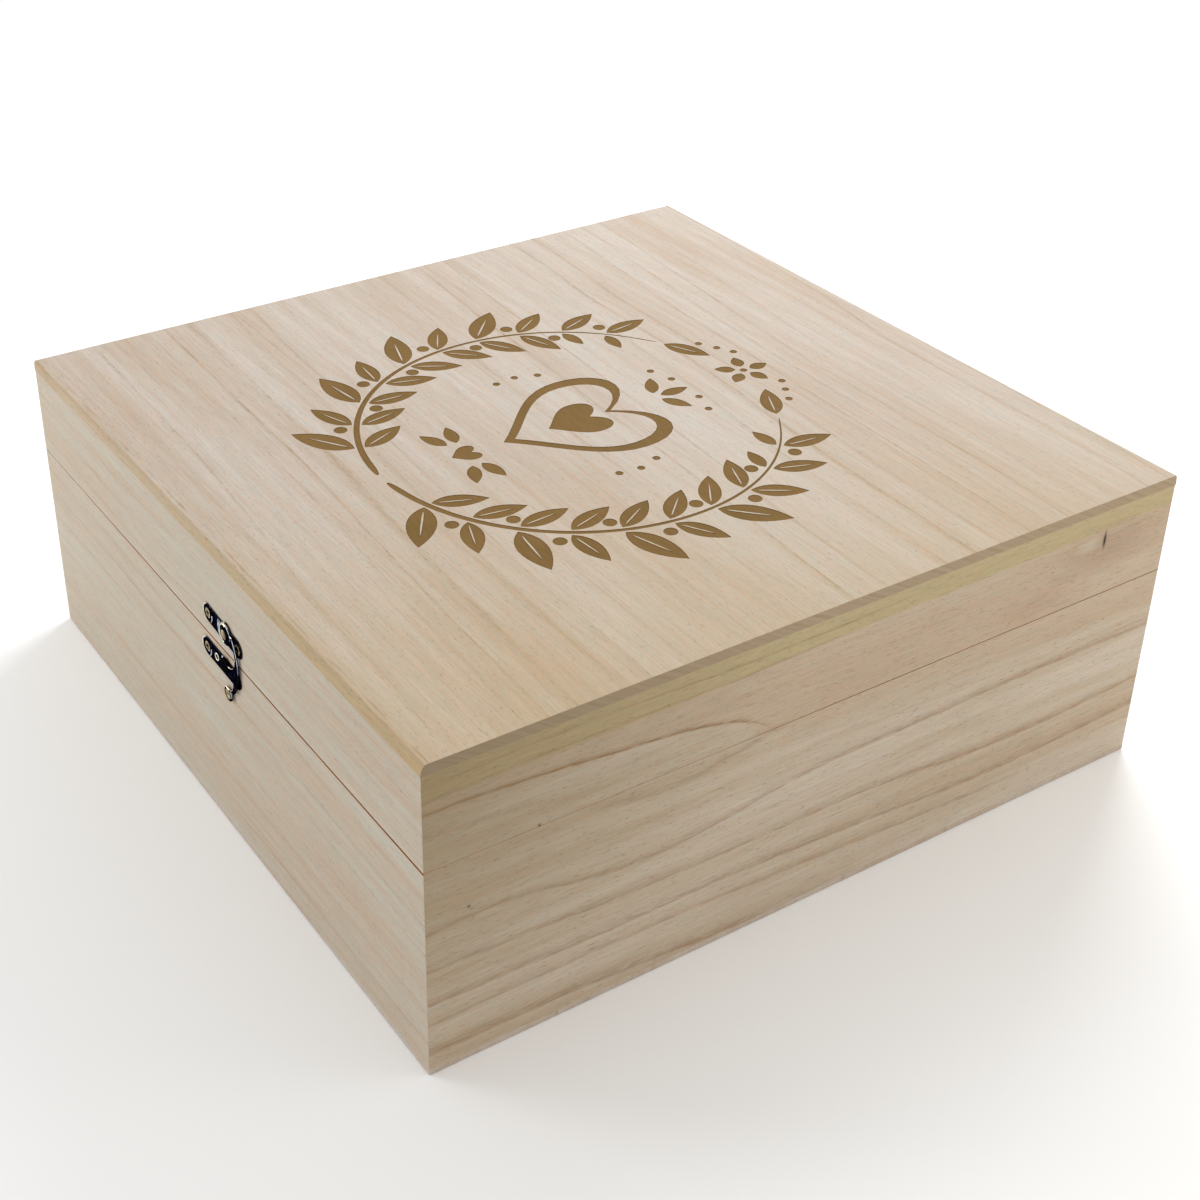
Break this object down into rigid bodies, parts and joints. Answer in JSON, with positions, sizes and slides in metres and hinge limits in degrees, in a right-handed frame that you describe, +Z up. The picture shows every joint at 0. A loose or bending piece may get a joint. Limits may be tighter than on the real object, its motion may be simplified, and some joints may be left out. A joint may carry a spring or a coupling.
{
  "type": "keepsake box",
  "caption": "Shallow square keepsake box of pale wood with a hinged lid, a swing-hook clasp at the front and surface hinges at the back.",
  "frame": {"origin": "middle of the underside of the base panel, where the box stands on a table", "axes": "+Z up, -Y towards the front with the clasp, +Y towards the hinges, +X to the right seen from the front"},
  "size_m": [0.31, 0.3267, 0.124],
  "materials": {
    "wood_boards": "raw sanded pale wood",
    "wood_lid_panel": "raw sanded pale wood",
    "wood_base_panel": "raw pale wood",
    "antique_bronze": "antique bronze, worn bright at the edges",
    "worn_brass": "tarnished brass"
  },
  "bodies": {
    "base": {"base_panel": "wood_base_panel", "base_front_board": "wood_boards", "base_back_board": "wood_boards", "base_left_board": "wood_boards", "base_right_board": "wood_boards", "keeper_plate": "antique_bronze", "keeper_button": "antique_bronze", "keeper_screws": "worn_brass", "hinge_left_base_leaf": "antique_bronze", "hinge_left_pin": "worn_brass", "hinge_right_base_leaf": "antique_bronze", "hinge_right_pin": "worn_brass", "hinge_base_screws": "worn_brass"},
    "lid": {"lid_panel": "wood_lid_panel", "lid_front_board": "wood_boards", "lid_back_board": "wood_boards", "lid_left_board": "wood_boards", "lid_right_board": "wood_boards", "latch_plate": "antique_bronze", "latch_screws": "worn_brass", "latch_rivet": "worn_brass", "hinge_left_lid_leaf": "antique_bronze", "hinge_right_lid_leaf": "antique_bronze", "hinge_lid_screws": "worn_brass"},
    "hook": {"latch_hook": "antique_bronze"}
  },
  "joints": [
    {"name": "lid_hinge", "type": "hinge", "parent": "base", "child": "lid", "pos_m": [0, 0.1601, 0.084], "axis": [-1, 0, 0], "range_deg": [0, 100]},
    {"name": "latch_swing", "type": "hinge", "parent": "lid", "child": "hook", "pos_m": [0.0216, -0.158, 0.0933], "axis": [0, -1, 0], "range_deg": [0, 95]}
  ]
}
